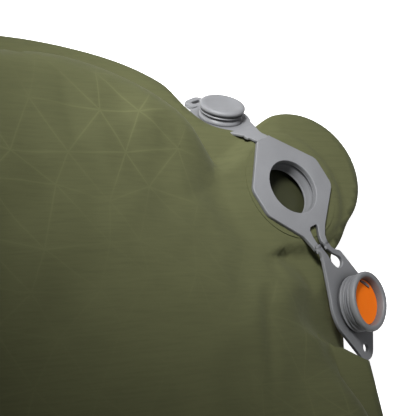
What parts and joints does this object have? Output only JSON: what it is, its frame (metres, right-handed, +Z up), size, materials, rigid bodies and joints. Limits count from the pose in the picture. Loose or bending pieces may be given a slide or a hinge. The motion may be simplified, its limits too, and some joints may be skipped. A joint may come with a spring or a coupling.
{
  "type": "inflatable sleeping pad",
  "caption": "Self-inflating sleeping pad with a tapered foam body, welded edge and a nested corner valve with a tethered one-way inflation plug and a stopper.",
  "frame": {"origin": "centre of the flat resting face, midway between the weld lines at the head and the foot and between the two long sides", "axes": "+X towards the head end, +Z up from the resting face, -Y the long side that carries the valve at its head corner"},
  "size_m": [1.854, 0.5651, 0.05],
  "materials": {
    "top_fabric": "matte",
    "bottom_fabric": "matte",
    "foam": "matte",
    "patch": "matte",
    "valve_grey": "satin",
    "seat_grey": "satin",
    "membrane_orange": "satin"
  },
  "bodies": {
    "pad": {"top_cover": "top_fabric", "bottom_cover": "bottom_fabric", "foam_core": "foam", "ear_patch": "patch", "valve_base": "valve_grey"},
    "inflation_plug": {"inflation_plug": "valve_grey", "valve_seat": "seat_grey", "membrane_clip": "seat_grey"},
    "membrane": {"membrane": "membrane_orange"},
    "stopper": {"stopper": "valve_grey"}
  },
  "joints": [
    {"name": "tether_bend", "type": "hinge", "parent": "pad", "child": "inflation_plug", "pos_m": [0.81106, -0.26112, 0.03402], "axis": [-0.3412, 0.9374, 0.0698], "range_deg": [-8, 196], "stiffness_Nm_per_rad": 0.01},
    {"name": "stopper_bend", "type": "hinge", "parent": "pad", "child": "stopper", "pos_m": [0.86791, -0.24042, 0.03505], "axis": [0.3418, -0.939, -0.0384], "range_deg": [0, 218], "stiffness_Nm_per_rad": 0.01},
    {"name": "membrane_flap", "type": "hinge", "parent": "inflation_plug", "child": "membrane", "pos_m": [0.78911, -0.27681, 0.03165], "axis": [0.3911, 0.8732, 0.2909], "range_deg": [0, 12], "stiffness_Nm_per_rad": 0.0005}
  ]
}
